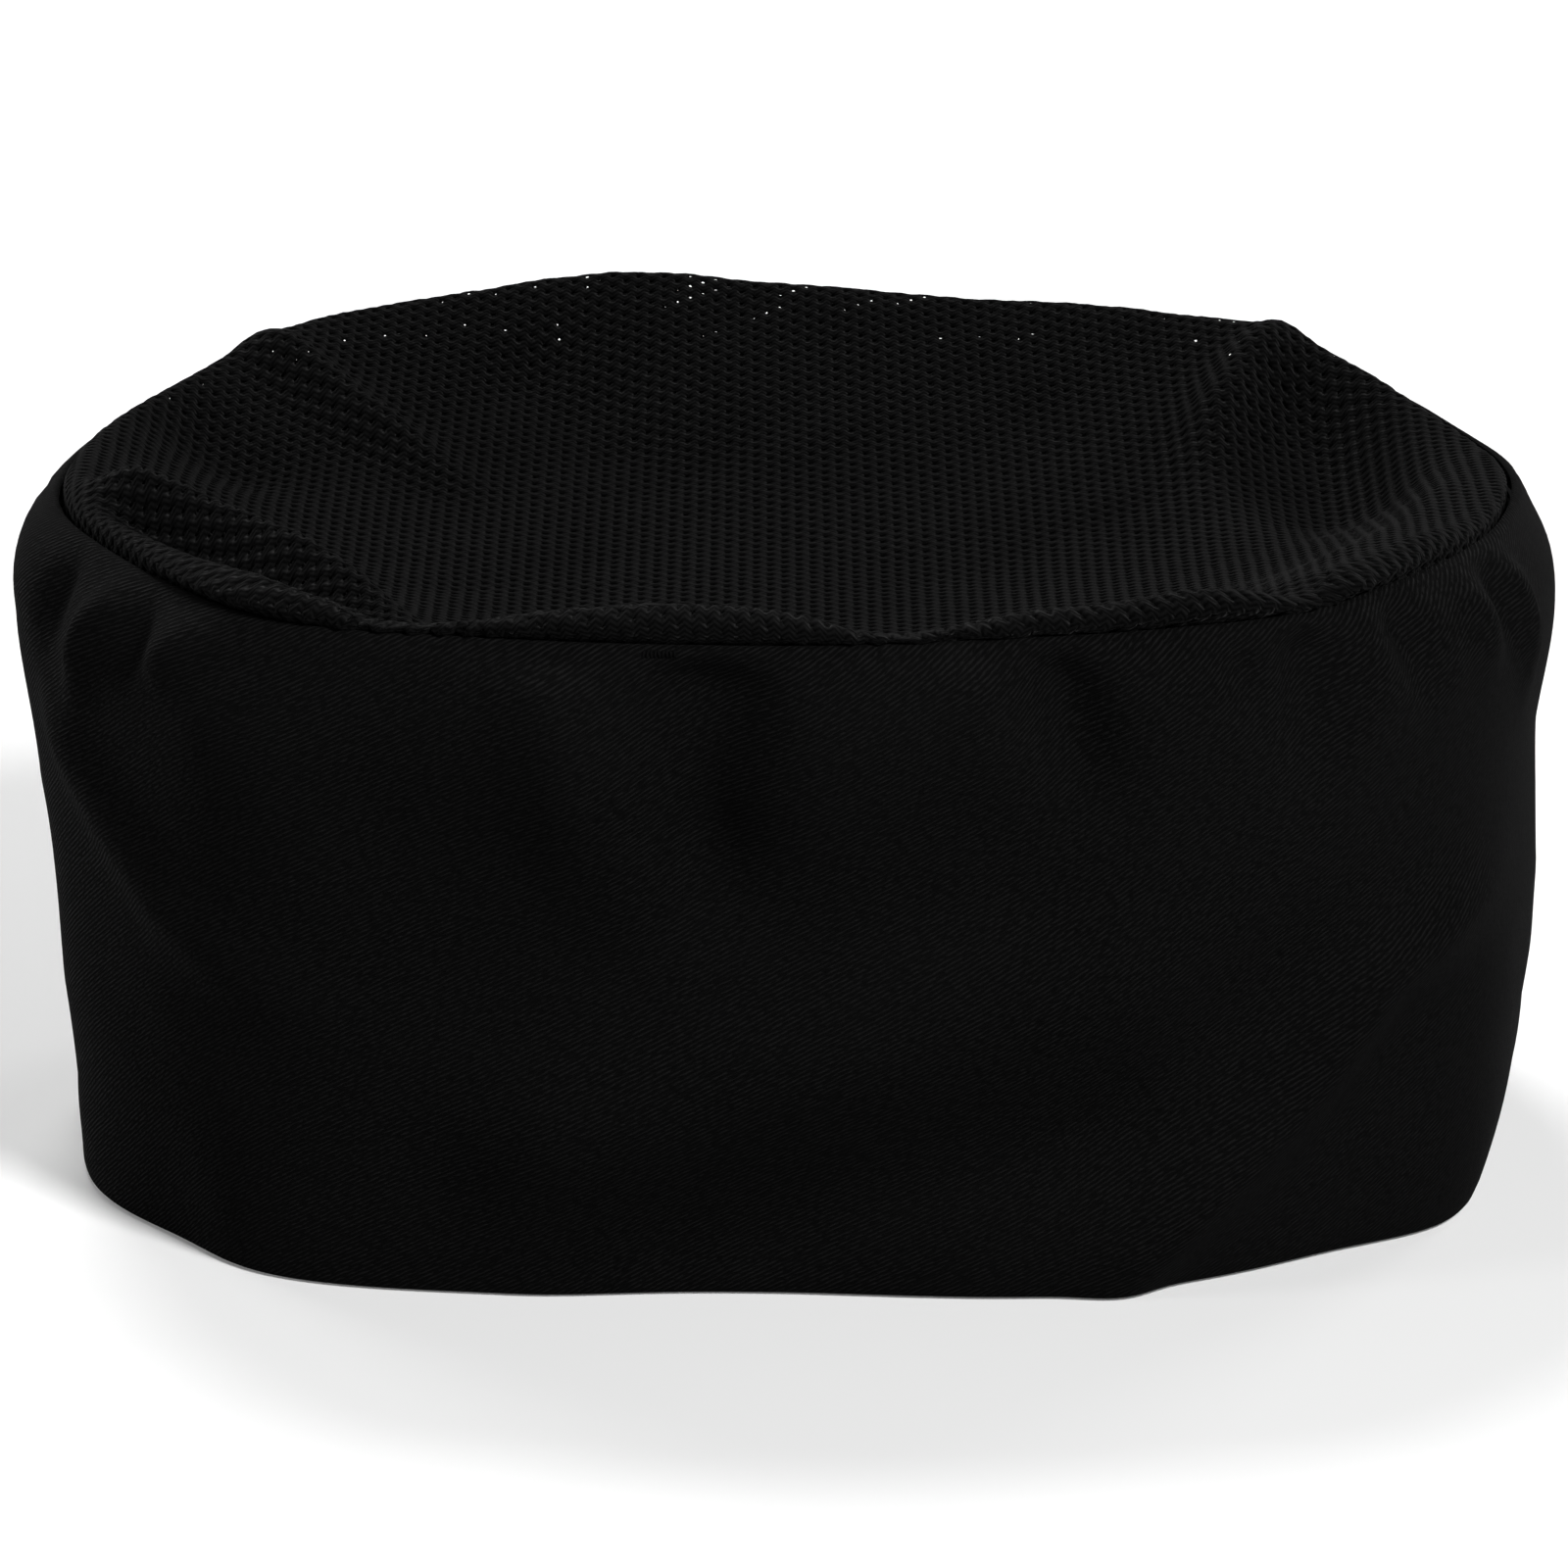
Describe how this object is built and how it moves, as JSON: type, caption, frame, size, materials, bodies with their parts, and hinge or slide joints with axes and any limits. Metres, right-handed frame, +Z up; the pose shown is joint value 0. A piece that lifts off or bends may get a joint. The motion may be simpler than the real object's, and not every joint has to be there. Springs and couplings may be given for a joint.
{
  "type": "chef skull cap",
  "caption": "Low chef's cap with a stiff twill side band, a dished open-mesh crown and a hook-and-loop adjuster across an arched opening at the back.",
  "frame": {"origin": "middle of the cap's footprint, on the plane of the hem", "axes": "+Z up through the crown, -Y to the front of the cap, +X to the right seen from the front"},
  "size_m": [0.1995, 0.1734, 0.0952],
  "materials": {
    "crown_mesh": "black warp-knit open mesh",
    "band_twill": "black diagonal twill, matte",
    "strap_cloth": "black twill, folded and stitched",
    "lining_cloth": "black plain weave",
    "interfacing": "charcoal non-woven stiffener",
    "sweatband_terry": "black short-loop terry",
    "binding_tape": "black bias tape",
    "hook_tape": "black nylon hook tape",
    "loop_tape": "black brushed loop tape",
    "thread": "black polyester sewing thread",
    "label_cloth": "blank off-white woven label"
  },
  "bodies": {
    "cap": {"crown_mesh": "crown_mesh", "band_outer": "band_twill", "band_interfacing": "interfacing", "band_lining": "lining_cloth", "crown_seam_tape": "binding_tape", "crown_seam_stitching": "thread", "seam_tack": "thread", "sweatband": "sweatband_terry", "sweatband_stitching": "thread", "arch_binding": "binding_tape", "arch_binding_stitching": "thread", "bartack_left": "thread", "bartack_right": "thread", "care_label": "label_cloth", "hook_strap_root": "strap_cloth", "loop_strap_root": "strap_cloth"},
    "hook_strap": {"hook_strap_flap": "strap_cloth", "hook_patch": "hook_tape", "hook_patch_stitching": "thread"},
    "loop_strap": {"loop_strap_flap": "strap_cloth", "loop_patch": "loop_tape", "loop_patch_stitching": "thread"}
  },
  "joints": [
    {"name": "hook_strap_peel", "type": "hinge", "parent": "cap", "child": "hook_strap", "pos_m": [0.03, 0.0784, 0.012], "axis": [0, 0, -1], "range_deg": [0, 100]},
    {"name": "loop_strap_fold", "type": "hinge", "parent": "cap", "child": "loop_strap", "pos_m": [-0.03, 0.0781, 0.012], "axis": [0, 0, -1], "range_deg": [0, 60]}
  ]
}
